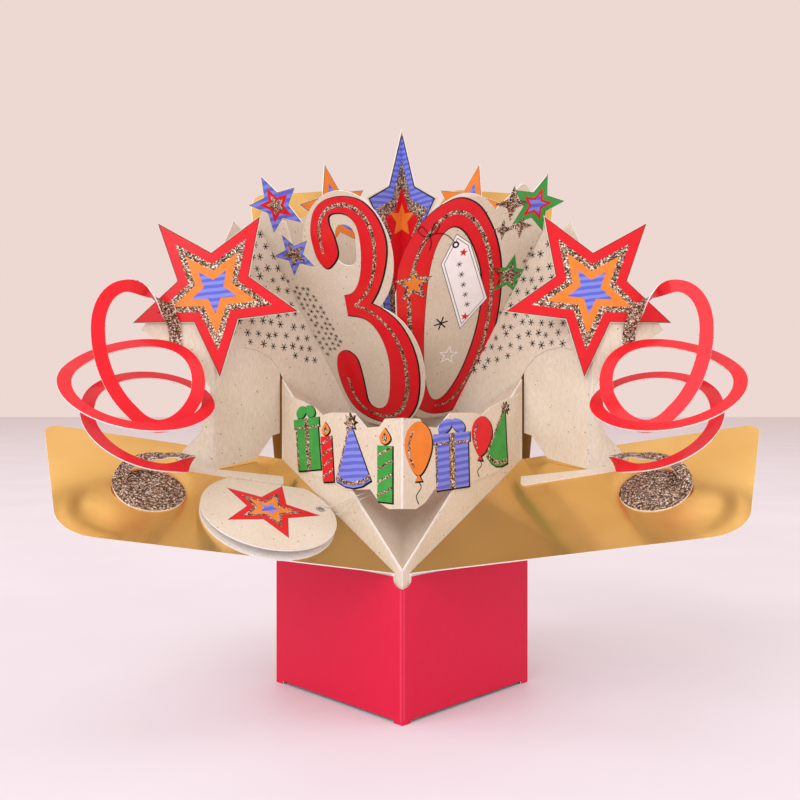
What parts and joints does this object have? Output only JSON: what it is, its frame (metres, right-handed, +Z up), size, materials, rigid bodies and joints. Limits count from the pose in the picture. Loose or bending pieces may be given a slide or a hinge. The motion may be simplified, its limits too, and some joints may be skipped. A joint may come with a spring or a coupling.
{
  "type": "pop up card",
  "caption": "Standing pop-up greeting card: a square pink sleeve holds gold foil wings, a buff card cup, big numerals, stars, streamers, a banner and a round tag.",
  "frame": {"origin": "middle of the whole object's footprint box, on the table; the sleeve's upright axis stands 5.4 mm behind it", "axes": "+Z up, +X to the viewer's right, -Y towards the viewer who reads the front"},
  "size_m": [0.2782, 0.1462, 0.249],
  "materials": {
    "pink_card": "glossy pink-red card",
    "gold_foil": "mirror gold foil on card",
    "buff_card": "matte speckled buff card",
    "numeral_card": "buff card with printed red numerals",
    "star_card": "printed card stars with glitter",
    "streamer_card": "red card with one glitter face",
    "banner_card": "buff card printed with party motifs",
    "tag_card": "pale buff card tag",
    "thread": "thin clear elastic thread",
    "rubber": "natural rubber band"
  },
  "bodies": {
    "root": {"sleeve": "pink_card", "foil_left": "gold_foil", "foil_right": "gold_foil", "foil_back_left": "gold_foil", "foil_back_right": "gold_foil", "cup": "buff_card", "screen": "buff_card", "rubber_band": "rubber", "three_panel": "numeral_card", "zero_panel": "numeral_card", "centre_star": "star_card", "star_left": "star_card", "star_right": "star_card", "leg_left": "buff_card", "leg_right": "buff_card", "streamer_left": "streamer_card", "streamer_right": "streamer_card", "banner": "banner_card", "banner_strut": "buff_card", "gift_tag": "tag_card", "tag_thread": "thread"}
  },
  "joints": []
}
